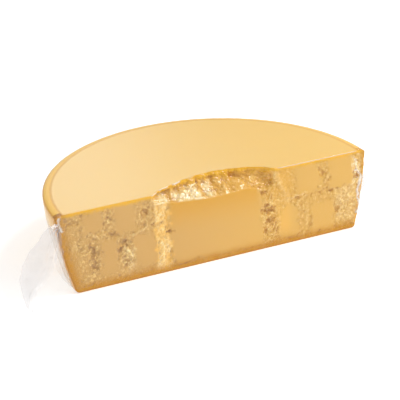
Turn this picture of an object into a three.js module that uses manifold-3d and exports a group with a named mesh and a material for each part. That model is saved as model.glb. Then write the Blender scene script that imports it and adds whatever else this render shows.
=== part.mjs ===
// Half of a wheel of hard, aged cheese, sealed in clear vacuum film. Millimetres, +Z up.
//
// The wheel stands on its base. It is cut across along X, a little ahead of its own axis, and the cut
// face looks towards -Y. A scoop has broken out of the middle of the face's top edge, and the face is
// a mix of flat marks, where the blade slid, and rough channels, where the cheese split.
//
// The film clings to the cheese all round. A loose tail of it hangs off the left end down to the table,
// and a small tab stands off the right end.
import * as THREE from "three";
import { mergeVertices } from "three/addons/utils/BufferGeometryUtils.js";
import Module from "manifold-3d";

// ---- The wheel -------------------------------------------------------------------------------------
const WHEEL_RADIUS = 190; // at the widest ring, just under the top
const WHEEL_HEIGHT = 92;
const SHOULDER_WIDTH = 9; // from the widest ring in to the flat top
const SHOULDER_DROP = 3; // from the flat top down to the widest ring
const BASE_TAPER = 17; // how much narrower the side is at the base than at the widest ring
const SIDE_ROUNDNESS = 1.55; // 1 is a straight taper, more bows the side out
const BASE_CORNER = 5; // radius where the side turns under into the base
const SIDE_STEPS = 6;
const CORNER_STEPS = 3;
const TURN_STEPS = 96; // around a whole wheel

// ---- The cut face ----------------------------------------------------------------------------------
const CUT_AHEAD_AT_TOP = 2.5; // how far ahead of the wheel's axis the cut runs, at the top
const CUT_AHEAD_AT_BASE = 10.5; // and at the base
const CUT_AHEAD_AT_HALF_HEIGHT = (CUT_AHEAD_AT_TOP + CUT_AHEAD_AT_BASE) / 2;
const FACE_CELL = 7.5; // spacing of the points on the cut face
const CUTTER_MARGIN = 12; // how far the cutter reaches past the wheel

// ---- The scoop in the face's top edge --------------------------------------------------------------
const SCOOP_LEFT = -77;
const SCOOP_RIGHT = 74;
const SCOOP_DEPTH = 25; // how far its rim is set back from the cut
const SCOOP_DROP = 17.5; // from the flat top down to its ledge, in the middle
const SCOOP_END_DROP = 11; // and at its ends
const SCOOP_SKEW = 1.15; // over 1 puts the deepest place right of the middle
const SCOOP_FULLNESS = 0.8; // under 1 makes the ends steeper
const MIDDLE_LEAN = 3; // how far the face below the scoop leans back by the time it reaches the top
const MIDDLE_LEFT_FADE = 20; // over which that lean comes in, from the scoop's left end
const MIDDLE_RIGHT_FADE = 34; // and goes out, towards its right end

// ---- Flat marks of the blade, each a patch of the face -----------------------------------------------
const MARK_FADE = 7; // over which a mark runs out into the broken cheese round it
const BREAK_DEPTH = 2.2; // of the broken cheese behind the marks
const BREAK_SWING = 1.6; // how much that depth comes and goes
const BREAK_GRAIN = 13; // size of the lumps in it
const BLADE_MARKS = [
  { left: -56, right: 54, low: 4, high: 80 }, // the big one in the middle
  { left: -163, right: -136, low: 62, high: 92 },
  { left: -125, right: -95, low: 56, high: 92 },
  { left: -140, right: -120, low: 12, high: 54 },
  { left: -103, right: -75, low: 12, high: 49 },
  { left: 97, right: 131, low: 54, high: 92 },
  { left: 143, right: 174, low: 52, high: 92 },
  { left: 75, right: 100, low: 4, high: 45 },
  { left: 118, right: 146, low: 4, high: 40 },
];

// ---- The film --------------------------------------------------------------------------------------
const FILM_THICKNESS = 0.5;
const FILM_GAP = 0.3; // between the film and the cheese
const TAIL_THICKNESS = 1.2; // the tail is two layers and the air between them
const TAIL_TURN = 27; // degrees that the tail swings forward from the line of the cut
const TAIL_CORNER_HEIGHT = 70; // the height of the wheel's side that its outline is measured out from
const TAIL_ROOT = 16; // how far the tail reaches back into the film round the cheese
const TAB_THICKNESS = 1;
const VENT_RADIUS = 12; // of the opening in the film under the base
const VENT_BEHIND_CUT = 120;
const VENT_SIDES = 24;
// The tail's edge from the cheese's top corner round to its foot: [out from the corner, share of the
// wheel's height].
const TAIL_OUTLINE = [
  [4, 0.89],
  [13, 0.95],
  [30, 0.85],
  [56, 0.65],
  [61, 0.54],
  [59, 0.26],
  [51, 0],
  [44, 0.12],
  [39, 0.25],
  [22, 0.32],
  [7, 0.39],
  [-2, 0.22],
  [-12, 0.04],
];
// The tab's edge: [out from the widest ring, share of the wheel's height].
const TAB_OUTLINE = [
  [0, 0.65],
  [5, 0.58],
  [5, 0.45],
  [-4, 0.37],
  [-14, 0.17],
];
const TAB_ROOT = 20;
const TAB_BEHIND_CUT = 8; // so that it stands off the side of the wheel and not off the face

// ---- Finishes --------------------------------------------------------------------------------------
const cheeseFinish = new THREE.MeshStandardMaterial({ color: 0xe6b867, roughness: 0.55, metalness: 0 });
const filmFinish = new THREE.MeshStandardMaterial({
  color: 0xf4f2ef,
  roughness: 0.12,
  metalness: 0,
  transparent: true,
  opacity: 0.25,
});

const library = await Module();
library.setup();

// A closed geometry as a solid that can be joined and cut.
function toSolid(geometry) {
  const bare = geometry.clone();
  bare.deleteAttribute("normal");
  bare.deleteAttribute("uv");
  const merged = mergeVertices(bare, 1e-4);
  const corners = merged.index.array;
  const kept = [];
  for (let i = 0; i < corners.length; i += 3) {
    const [a, b, c] = corners.slice(i, i + 3);
    if (a !== b && b !== c && c !== a) kept.push(a, b, c);
  }
  return new library.Manifold(
    new library.Mesh({
      numProp: 3,
      vertProperties: merged.attributes.position.array,
      triVerts: new Uint32Array(kept),
    }),
  );
}

// A solid back as a geometry.
function toGeometry(solid) {
  const mesh = solid.getMesh();
  const places = new Float32Array(mesh.numVert * 3);
  for (let i = 0; i < mesh.numVert; i++) {
    places.set(mesh.vertProperties.subarray(i * mesh.numProp, i * mesh.numProp + 3), i * 3);
  }
  const geometry = new THREE.BufferGeometry();
  geometry.setAttribute("position", new THREE.BufferAttribute(places, 3));
  geometry.setIndex(new THREE.BufferAttribute(mesh.triVerts, 1));
  geometry.computeVertexNormals();
  return geometry;
}

// The wheel's radius at a height on its bowed side, from the base corner up to the widest ring.
function sideRadius(height) {
  const widest = WHEEL_HEIGHT - SHOULDER_DROP;
  return WHEEL_RADIUS - BASE_TAPER * (1 - height / widest) ** SIDE_ROUNDNESS;
}

// The wheel's outline from the axis at the base round to the axis at the top, grown by a clearance.
function wheelOutline(grow) {
  const points = [[0, -grow]];
  const cornerRadius = sideRadius(BASE_CORNER) + grow - BASE_CORNER;
  for (let i = 0; i < CORNER_STEPS; i++) {
    const turn = (i / CORNER_STEPS) * (Math.PI / 2);
    const radius = cornerRadius + BASE_CORNER * Math.sin(turn);
    points.push([radius, -grow + BASE_CORNER * (1 - Math.cos(turn))]);
  }
  const widest = WHEEL_HEIGHT - SHOULDER_DROP;
  for (let i = 0; i <= SIDE_STEPS; i++) {
    const height = BASE_CORNER + (widest - BASE_CORNER) * (i / SIDE_STEPS);
    points.push([sideRadius(height) + grow, height]);
  }
  for (let i = 1; i <= CORNER_STEPS; i++) {
    const turn = (i / CORNER_STEPS) * (Math.PI / 2);
    const radius = WHEEL_RADIUS + grow - SHOULDER_WIDTH * (1 - Math.cos(turn));
    points.push([radius, widest + (SHOULDER_DROP + grow) * Math.sin(turn)]);
  }
  points.push([0, WHEEL_HEIGHT + grow]);
  return points.map(([radius, height]) => new THREE.Vector2(radius, height));
}

// A whole wheel, grown by a clearance, standing on z = -grow.
function wholeWheel(grow) {
  const geometry = new THREE.LatheGeometry(wheelOutline(grow), TURN_STEPS);
  return toSolid(geometry.rotateX(Math.PI / 2));
}

// A number from 0 to 1 that is always the same for the same two whole numbers.
function chance(i, j) {
  const mixed = Math.sin(i * 127.1 + j * 311.7) * 43758.5453;
  return mixed - Math.floor(mixed);
}

function ease(share) {
  const held = Math.min(1, Math.max(0, share));
  return held * held * (3 - 2 * held);
}

// Soft lumps of a given size, from 0 to 1.
function lumps(x, z, size) {
  const i = Math.floor(x / size);
  const j = Math.floor(z / size);
  const u = ease(x / size - i);
  const v = ease(z / size - j);
  const low = chance(i, j) * (1 - u) + chance(i + 1, j) * u;
  const high = chance(i, j + 1) * (1 - u) + chance(i + 1, j + 1) * u;
  return low * (1 - v) + high * v;
}

// How far a place on the face lies inside a mark of the blade, from 0 to 1.
function onMark(x, z) {
  let most = 0;
  for (const mark of BLADE_MARKS) {
    const inside = Math.min(x - mark.left, mark.right - x, z - mark.low, mark.high - z);
    most = Math.max(most, ease(inside / MARK_FADE + 0.5));
  }
  return most;
}

// How far the scoop sets the face back at a place.
function scoopAt(x, z) {
  const along = (x - SCOOP_LEFT) / (SCOOP_RIGHT - SCOOP_LEFT);
  if (along <= 0 || along >= 1) return 0;
  const arch = Math.sin(Math.PI * along ** SCOOP_SKEW) ** SCOOP_FULLNESS;
  const ledge = WHEEL_HEIGHT - SCOOP_END_DROP - (SCOOP_DROP - SCOOP_END_DROP) * arch;
  const up = (z - ledge) / (WHEEL_HEIGHT - ledge);
  return SCOOP_DEPTH * arch * Math.sin((Math.PI / 2) * Math.min(1, Math.max(0, up)));
}

// How far the face below the scoop leans back at a place.
function leanAt(x, z) {
  const comesIn = ease((x - SCOOP_LEFT) / MIDDLE_LEFT_FADE);
  const goesOut = ease((SCOOP_RIGHT + MIDDLE_RIGHT_FADE / 2 - x) / MIDDLE_RIGHT_FADE);
  return MIDDLE_LEAN * comesIn * goesOut * ease(z / WHEEL_HEIGHT);
}

// Where the cut face lies along Y, with the wheel's axis at y = 0.
function faceAt(x, z) {
  const share = z / WHEEL_HEIGHT;
  const cut = -CUT_AHEAD_AT_BASE + (CUT_AHEAD_AT_BASE - CUT_AHEAD_AT_TOP) * share;
  const broken = 1 - onMark(x, z);
  const edges = ease(Math.min(z, WHEEL_HEIGHT - z) / MARK_FADE);
  const chipped = BREAK_DEPTH + BREAK_SWING * (2 * lumps(x, z, BREAK_GRAIN) - 1);
  return cut + scoopAt(x, z) + leanAt(x, z) + broken * edges * chipped;
}

// What is cut away in front of the face, its rear side shaped as the face and moved forward by a clearance.
function cutter(forward) {
  const width = 2 * (WHEEL_RADIUS + CUTTER_MARGIN);
  const depth = WHEEL_RADIUS + 2 * CUTTER_MARGIN;
  const height = WHEEL_HEIGHT + 2 * CUTTER_MARGIN;
  const across = Math.round(width / FACE_CELL);
  const up = Math.round(height / FACE_CELL);
  const geometry = new THREE.BoxGeometry(width, depth, height, across, 1, up);
  geometry.translate(0, -depth / 2 - CUTTER_MARGIN, WHEEL_HEIGHT / 2);
  const places = geometry.attributes.position;
  for (let i = 0; i < places.count; i++) {
    if (places.getY(i) > -depth / 2) places.setY(i, faceAt(places.getX(i), places.getZ(i)) - forward);
  }
  return toSolid(geometry);
}

// Half a wheel, grown by a clearance on every side.
function halfWheel(grow) {
  return wholeWheel(grow).subtract(cutter(grow));
}

// A flat piece of film standing on edge: an outline in [out, share of height], carried back to a root.
function uprightFilm(outline, root, thickness) {
  const first = outline[0];
  const last = outline[outline.length - 1];
  const points = [...outline, [last[0] - root, last[1]], [first[0] - root, first[1]]];
  const shape = new THREE.Shape(points.map(([out, share]) => new THREE.Vector2(out, share * WHEEL_HEIGHT)));
  const geometry = new THREE.ExtrudeGeometry(shape, { depth: thickness, bevelEnabled: false });
  return geometry.translate(0, 0, -thickness / 2).rotateX(Math.PI / 2);
}

function tail() {
  const geometry = uprightFilm(TAIL_OUTLINE, TAIL_ROOT, TAIL_THICKNESS);
  geometry.rotateZ(Math.PI + THREE.MathUtils.degToRad(TAIL_TURN));
  return toSolid(geometry.translate(-sideRadius(TAIL_CORNER_HEIGHT), -CUT_AHEAD_AT_HALF_HEIGHT, 0));
}

function tab() {
  const geometry = uprightFilm(TAB_OUTLINE, TAB_ROOT, TAB_THICKNESS);
  return toSolid(geometry.translate(WHEEL_RADIUS, TAB_BEHIND_CUT - CUT_AHEAD_AT_HALF_HEIGHT, 0));
}

// The opening under the base.
function vent() {
  const depth = 4 * FILM_THICKNESS;
  const geometry = new THREE.CylinderGeometry(VENT_RADIUS, VENT_RADIUS, depth, VENT_SIDES);
  geometry.rotateX(Math.PI / 2).translate(0, VENT_BEHIND_CUT - CUT_AHEAD_AT_BASE, -FILM_GAP - FILM_THICKNESS);
  return toSolid(geometry);
}

function cheeseHalfWheel() {
  const mesh = new THREE.Mesh(toGeometry(halfWheel(0)), cheeseFinish);
  mesh.name = "cheese_half_wheel";
  return mesh;
}

function vacuumBag() {
  const outside = halfWheel(FILM_GAP + FILM_THICKNESS);
  const loose = outside.add(tail()).add(tab());
  const bag = loose.subtract(halfWheel(FILM_GAP)).subtract(vent());
  const mesh = new THREE.Mesh(toGeometry(bag), filmFinish);
  mesh.name = "vacuum_bag";
  return mesh;
}

// Both pieces, with the origin under the middle of their box and the film's underside at z = 0.
function wrappedHalfWheel() {
  const pieces = new THREE.Group();
  pieces.add(cheeseHalfWheel(), vacuumBag());
  const box = new THREE.Box3().setFromObject(pieces);
  const middle = box.getCenter(new THREE.Vector3());
  pieces.position.set(-middle.x, -middle.y, -box.min.z);
  const part = new THREE.Group();
  part.add(pieces);
  return part;
}

export default wrappedHalfWheel();
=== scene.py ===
"""Half of a wheel of hard, aged cheese, sealed in clear vacuum film, on a pale studio sweep.

The cheese is one solid: a bowed wheel cut across a little ahead of its axis. Its face is a mix of flat
marks, where the blade slid, and crumbly channels, where the cheese split, and a scoop has broken out
of the middle of its top edge. The film clings to it all round, hangs off the left end as a loose tail
and stands off the right end as a small tab.

Sizes of the cheese's own relief are in millimetres, measured from the wheel's axis and its base.
"""

import logging
import math
from dataclasses import dataclass, field
from enum import Enum
from typing import Sequence

import bpy
import numpy as np
from mathutils import Matrix, Vector


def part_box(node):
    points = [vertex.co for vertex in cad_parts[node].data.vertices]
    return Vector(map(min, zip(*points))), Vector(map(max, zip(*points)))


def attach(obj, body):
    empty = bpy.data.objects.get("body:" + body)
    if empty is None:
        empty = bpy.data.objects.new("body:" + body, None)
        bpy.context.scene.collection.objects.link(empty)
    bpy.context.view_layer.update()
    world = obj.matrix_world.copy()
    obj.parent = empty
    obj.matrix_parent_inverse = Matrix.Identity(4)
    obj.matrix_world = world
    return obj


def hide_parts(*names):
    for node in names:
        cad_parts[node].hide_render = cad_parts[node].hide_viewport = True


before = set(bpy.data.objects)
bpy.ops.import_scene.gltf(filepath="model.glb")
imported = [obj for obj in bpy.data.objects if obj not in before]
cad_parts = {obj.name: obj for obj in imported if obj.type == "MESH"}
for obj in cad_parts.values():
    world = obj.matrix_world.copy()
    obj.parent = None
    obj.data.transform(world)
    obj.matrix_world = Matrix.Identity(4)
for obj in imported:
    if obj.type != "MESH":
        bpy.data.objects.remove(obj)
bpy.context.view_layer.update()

MM = 0.001
FACES_UP = 0.9
BODY = "root"
log = logging.getLogger("cheese")

Array = np.ndarray


# ---- Patterns --------------------------------------------------------------------------------------------


def ease(share: Array) -> Array:
    """A share held between 0 and 1 and softened at both ends.

    Args:
        share: Any numbers.

    Returns:
        A number from 0 to 1 for each.
    """
    held = np.clip(share, 0.0, 1.0)
    return held * held * (3.0 - 2.0 * held)


def within(x: Array, low: float, high: float, rise: float, fall: float) -> Array:
    """1 between two places and 0 outside them, eased at both ends.

    Args:
        x: Places.
        low: Where it starts to rise.
        high: Where it is back at 0.
        rise: How long it takes to rise.
        fall: How long it takes to fall.

    Returns:
        A share for each place.
    """
    return ease((x - low) / rise) * ease((high - x) / fall)


def chance(i: Array, j: Array, seed: int) -> Array:
    """Numbers from 0 to 1, always the same for the same whole numbers and seed.

    Args:
        i: Whole numbers along one way.
        j: Whole numbers along the other.
        seed: Which of many such patterns.

    Returns:
        One number for each pair.
    """
    mixed = (i.astype(np.int64) * 374761393 + j.astype(np.int64) * 668265263 + seed * 974634777) & 0xFFFFFFFF
    mixed = ((mixed ^ (mixed >> 13)) * 1274126177) & 0xFFFFFFFF
    return ((mixed ^ (mixed >> 16)) & 0xFFFFFF) / float(0xFFFFFF)


def lumps(x: Array, z: Array, size: float, seed: int) -> Array:
    """Soft swells of a given size.

    Args:
        x: Places along the face.
        z: Places up the face.
        size: About how far the swells lie apart.
        seed: Which of many such patterns.

    Returns:
        How far each place stands up, from -1 to 1.
    """
    i, j = np.floor(x / size), np.floor(z / size)
    u, v = ease(x / size - i), ease(z / size - j)
    low = chance(i, j, seed) * (1 - u) + chance(i + 1, j, seed) * u
    high = chance(i, j + 1, seed) * (1 - u) + chance(i + 1, j + 1, seed) * u
    return 2.0 * (low * (1 - v) + high * v) - 1.0


def crumbs(x: Array, z: Array, size: float, seed: int) -> Array:
    """Broken grains of a given size: flat facets, each tilted its own way, with creases between them.

    Args:
        x: Places along the face.
        z: Places up the face.
        size: About how far the grains lie apart.
        seed: Which of many such patterns.

    Returns:
        How far each place stands up, mostly from -1 to 1.
    """
    i, j = np.floor(x / size), np.floor(z / size)
    most = np.full(np.shape(x), -9.0)
    for step_i in (-1, 0, 1):
        for step_j in (-1, 0, 1):
            ci, cj = i + step_i, j + step_j
            across = x / size - ci - 0.1 - 0.8 * chance(ci, cj, seed)
            up = z / size - cj - 0.1 - 0.8 * chance(ci, cj, seed + 1)
            lean_across = 1.6 * (chance(ci, cj, seed + 2) - 0.5)
            lean_up = 1.6 * (chance(ci, cj, seed + 3) - 0.5)
            height = 1.1 * (chance(ci, cj, seed + 4) - 0.5)
            facet = height + lean_across * across + lean_up * up - 1.3 * (across**2 + up**2)
            most = np.maximum(most, facet)
    return most + 0.15


def ridged(x: Array, z: Array, size: float, seed: int) -> Array:
    """Sharp crests between soft hollows, from -1 to 1."""
    return 1.0 - 2.0 * np.abs(lumps(x, z, size, seed))


def blurred(values: Array, reach: int) -> Array:
    """A grid averaged over a square of cells round each cell.

    Args:
        values: The grid.
        reach: How many cells the square goes to each side.

    Returns:
        The smoother grid, of the same shape.
    """
    for axis in (0, 1):
        padded = np.pad(values, [(reach + 1, reach) if a == axis else (0, 0) for a in (0, 1)], "edge")
        total = np.cumsum(padded, axis)
        count = values.shape[axis]
        ahead = np.take(total, range(2 * reach + 1, 2 * reach + 1 + count), axis)
        behind = np.take(total, range(count), axis)
        values = (ahead - behind) / (2 * reach + 1)
    return values


def lowest_near(values: Array, reach: int) -> Array:
    """A grid with each cell at the lowest value of the square of cells round it.

    Args:
        values: The grid.
        reach: How many cells the square goes to each side.

    Returns:
        The lower grid, of the same shape.
    """
    for axis in (0, 1):
        padded = np.pad(values, [(reach, reach) if a == axis else (0, 0) for a in (0, 1)], "edge")
        count = values.shape[axis]
        shifted = [np.take(padded, range(k, k + count), axis) for k in range(2 * reach + 1)]
        values = np.min(shifted, axis=0)
    return values


# ---- Mesh helpers ----------------------------------------------------------------------------------------


def select_only(obj: bpy.types.Object) -> None:
    """Selects one object, makes it active and drops every other selection.

    Args:
        obj: The object.
    """
    bpy.ops.object.select_all(action="DESELECT")
    obj.select_set(True)
    bpy.context.view_layer.objects.active = obj


def places_of(obj: bpy.types.Object) -> Array:
    """The object's vertices.

    Args:
        obj: The object.

    Returns:
        Rows of x, y and z.
    """
    places = np.empty(len(obj.data.vertices) * 3)
    obj.data.vertices.foreach_get("co", places)
    return places.reshape(-1, 3)


def set_places(obj: bpy.types.Object, places: Array) -> None:
    """Moves the object's vertices."""
    obj.data.vertices.foreach_set("co", places.reshape(-1))
    obj.data.update()


def apply_modifier(obj: bpy.types.Object, kind: str, **settings: object) -> None:
    """Adds a modifier with the given settings and applies it.

    Args:
        obj: The object it works on.
        kind: The modifier's type.
        **settings: Its settings by name.
    """
    select_only(obj)
    modifier = obj.modifiers.new(kind.title(), kind)
    for name, value in settings.items():
        setattr(modifier, name, value)
    bpy.ops.object.modifier_apply(modifier=modifier.name)


def store(obj: bpy.types.Object, name: str, values: Array) -> None:
    """Keeps one number for each vertex under a name that a material can read."""
    layer = obj.data.attributes.new(name, "FLOAT", "POINT")
    layer.data.foreach_set("value", values.astype(np.float32))


def drop(obj: bpy.types.Object) -> None:
    """Removes a helper object with its mesh.

    Args:
        obj: The helper.
    """
    mesh = obj.data
    bpy.data.objects.remove(obj)
    bpy.data.meshes.remove(mesh)


# ---- The wheel -------------------------------------------------------------------------------------------


@dataclass
class WheelForm:
    """The turned form of the whole wheel, in millimetres."""

    radius: float
    height: float
    shoulder_width: float = 9.0
    shoulder_drop: float = 3.0
    base_taper: float = 17.0
    side_roundness: float = 1.55
    base_corner: float = 5.0
    turn_steps: int = 288
    side_rings: int = 14
    corner_rings: int = 5
    top_rings: Sequence[float] = (1.5, 2.0, 2.5, 4.0, 8.0, 16.0, 26.0, 36.0, 40.0)

    @property
    def widest(self) -> float:
        """The height of the widest ring."""
        return self.height - self.shoulder_drop

    def side_radius(self, z: Array) -> Array:
        """The bowed side's radius at a height."""
        share = np.clip(1.0 - np.asarray(z) / self.widest, 0.0, 1.0)
        return self.radius - self.base_taper * share**self.side_roundness

    def radius_at(self, z: Array) -> Array:
        """The wheel's radius at a height, with its base corner and its shoulder.

        Args:
            z: Heights above the base.

        Returns:
            A radius for each.
        """
        z = np.asarray(z, float)
        corner = self.base_corner
        corner_start = float(self.side_radius(corner)) - corner
        turned = np.sqrt(np.clip(1.0 - (1.0 - np.clip(z, 0, corner) / corner) ** 2, 0, 1))
        low = corner_start + corner * turned
        over = np.clip((z - self.widest) / self.shoulder_drop, 0.0, 1.0)
        high = self.radius - self.shoulder_width * (1.0 - np.sqrt(1.0 - over**2))
        return np.where(z < corner, low, np.where(z > self.widest, high, self.side_radius(z)))

    def ring_heights(self) -> list[float]:
        """Where the side has a ring of points.

        Returns:
            The rings' heights, from the base up.
        """
        turns = [math.pi / 2 * k / self.corner_rings for k in range(1, self.corner_rings)]
        low = [self.base_corner * (1 - math.cos(turn)) for turn in turns]
        side = np.linspace(self.base_corner, self.widest, self.side_rings + 1)
        high = [self.widest + self.shoulder_drop * math.sin(turn) for turn in turns]
        return low + [float(z) for z in side] + high

    def build(self, name: str, grow: float) -> bpy.types.Object:
        """Turns the whole wheel, standing on its base with its axis on Z.

        Args:
            name: The object's name.
            grow: How far every side stands out past the bare cheese.

        Returns:
            The wheel, in metres.
        """
        bpy.ops.mesh.primitive_cylinder_add(
            vertices=self.turn_steps,
            radius=self.radius * MM,
            depth=self.height * MM,
            end_fill_type="NGON",
            location=(0, 0, self.height / 2 * MM),
        )
        wheel = bpy.context.object
        wheel.name = name
        bpy.ops.object.transform_apply(location=True, rotation=True, scale=True)
        bpy.ops.object.mode_set(mode="EDIT")
        for z in self.ring_heights():
            bpy.ops.mesh.select_all(action="SELECT")
            bpy.ops.mesh.bisect(plane_co=(0, 0, z * MM), plane_no=(0, 0, 1))
        bpy.ops.mesh.select_all(action="DESELECT")
        bpy.ops.object.mode_set(mode="OBJECT")
        for flat in wheel.data.polygons:
            flat.select = flat.normal.z > FACES_UP
        bpy.ops.object.mode_set(mode="EDIT")
        for step in self.top_rings:
            bpy.ops.mesh.inset(thickness=step * MM)
        bpy.ops.object.mode_set(mode="OBJECT")
        places = places_of(wheel) / MM
        z = places[:, 2]
        scale = (self.radius_at(z) + grow) / self.radius
        places[:, 0] *= scale
        places[:, 1] *= scale
        places[:, 2] = z + grow * (2.0 * z / self.height - 1.0)
        set_places(wheel, places * MM)
        return wheel


# ---- The cut face ----------------------------------------------------------------------------------------


@dataclass(frozen=True)
class BladeMark:
    """A flat patch where the blade slid through the cheese."""

    left: float
    right: float
    low: float
    high: float


@dataclass(frozen=True)
class Hollow:
    """A pit that a crumb fell out of."""

    x: float
    z: float
    wide: float
    tall: float
    deep: float


@dataclass(frozen=True)
class Crumble:
    """A patch where the break is rougher, or calmer, than round it."""

    x: float
    z: float
    wide: float
    tall: float
    strength: float


@dataclass(frozen=True)
class ShadowSpot:
    """A spot of painted shadow in a hollow of the break."""

    x: float
    z: float
    wide: float
    tall: float


@dataclass(frozen=True)
class Flap:
    """A thin edge of cheese that stands up along a line."""

    x_from: float
    z_from: float
    x_to: float
    z_to: float
    width: float
    height: float


MARKS = (
    BladeMark(-56, 54, 6, 84),
    BladeMark(-161, -137, 63, 90),
    BladeMark(-124, -96, 57, 90),
    BladeMark(-140, -121, 14, 53),
    BladeMark(-102, -76, 14, 50),
    BladeMark(98, 130, 55, 90),
    BladeMark(143, 172, 54, 90),
    BladeMark(76, 100, 7, 45),
    BladeMark(118, 146, 6, 40),
)

HOLLOWS = (
    Hollow(66, 43, 8, 6, 4.6),
    Hollow(61, 49, 5, 4, 3.0),
    Hollow(67, 33, 3.5, 3.5, 3.0),
    Hollow(61, 17, 5, 5, 2.6),
    Hollow(58, 65, 5, 4, 3.0),
    Hollow(-58, 45, 4.5, 2.5, 3.6),
    Hollow(-58, 22, 2.5, 6, 1.6),
    Hollow(67, 75, 6, 6, 3.6),
    Hollow(-85, 75, 5, 7, 3.6),
    Hollow(-77, 57, 3.5, 2.5, 2.2),
    Hollow(-170, 80, 7, 4, 2.6),
    Hollow(-150, 44, 5, 8, 3.4),
    Hollow(-149, 27, 4.5, 7, 3.0),
    Hollow(-165, 50, 4, 8, 2.0),
    Hollow(-113, 46, 6, 4, 3.2),
    Hollow(-119, 37, 3.5, 5, 2.6),
    Hollow(-126, 58, 6, 3, 2.6),
    Hollow(-127, 78, 4, 5, 2.4),
    Hollow(-112, 20, 4, 6, 2.0),
    Hollow(134, 77, 4, 6, 2.4),
    Hollow(99, 52, 3.5, 2.5, 2.6),
    Hollow(142, 52, 8, 2.5, 2.0),
    Hollow(152, 28, 4, 6, 2.2),
    Hollow(178, 60, 4, 8, 3.0),
)

CRUMBLES = (
    Crumble(-150, 32, 10, 27, 1.0),
    Crumble(-112, 31, 9, 25, 1.0),
    Crumble(-131, 74, 8, 17, 0.8),
    Crumble(-130, 55, 36, 6, 0.8),
    Crumble(-86, 72, 9, 17, 0.8),
    Crumble(-178, 84, 8, 9, 0.9),
    Crumble(-178, 60, 5, 20, 0.5),
    Crumble(-67, 46, 8, 52, 0.75),
    Crumble(67, 36, 11, 38, 1.0),
    Crumble(66, 82, 12, 9, 0.9),
    Crumble(138, 73, 7, 17, 0.7),
    Crumble(161, 28, 19, 32, 0.85),
    Crumble(109, 26, 9, 26, 0.65),
    Crumble(118, 50, 34, 4.5, 0.6),
    Crumble(182, 72, 8, 26, 1.0),
)

FLAPS = (
    Flap(94, 53, 131, 60, 2.2, 1.6),
    Flap(137, 64, 144, 74, 2.0, 1.2),
    Flap(-131, 72, -122, 84, 2.0, 1.4),
    Flap(-100, 52, -84, 60, 2.0, 1.3),
    Flap(-160, 70, -140, 57, 2.0, 1.2),
    Flap(-112, 38, -106, 24, 2.4, 1.2),
    Flap(-71, 88, -73, 60, 3.5, 1.0),
    Flap(-66, 34, -69, 12, 5.0, 1.0),
    Flap(74, 91, 88, 52, 5.0, 1.1),
)

# Spots of painted shadow, each in a hollow of the break.
SHADOW_SPOTS = (
    ShadowSpot(46, 86, 17, 4),
    ShadowSpot(66, 76, 7, 7),
    ShadowSpot(66, 44, 8, 6),
    ShadowSpot(67, 32, 5, 5),
    ShadowSpot(-182, 82, 6, 9),
    ShadowSpot(-149, 36, 7, 16),
    ShadowSpot(-119, 44, 7, 6),
)


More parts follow.
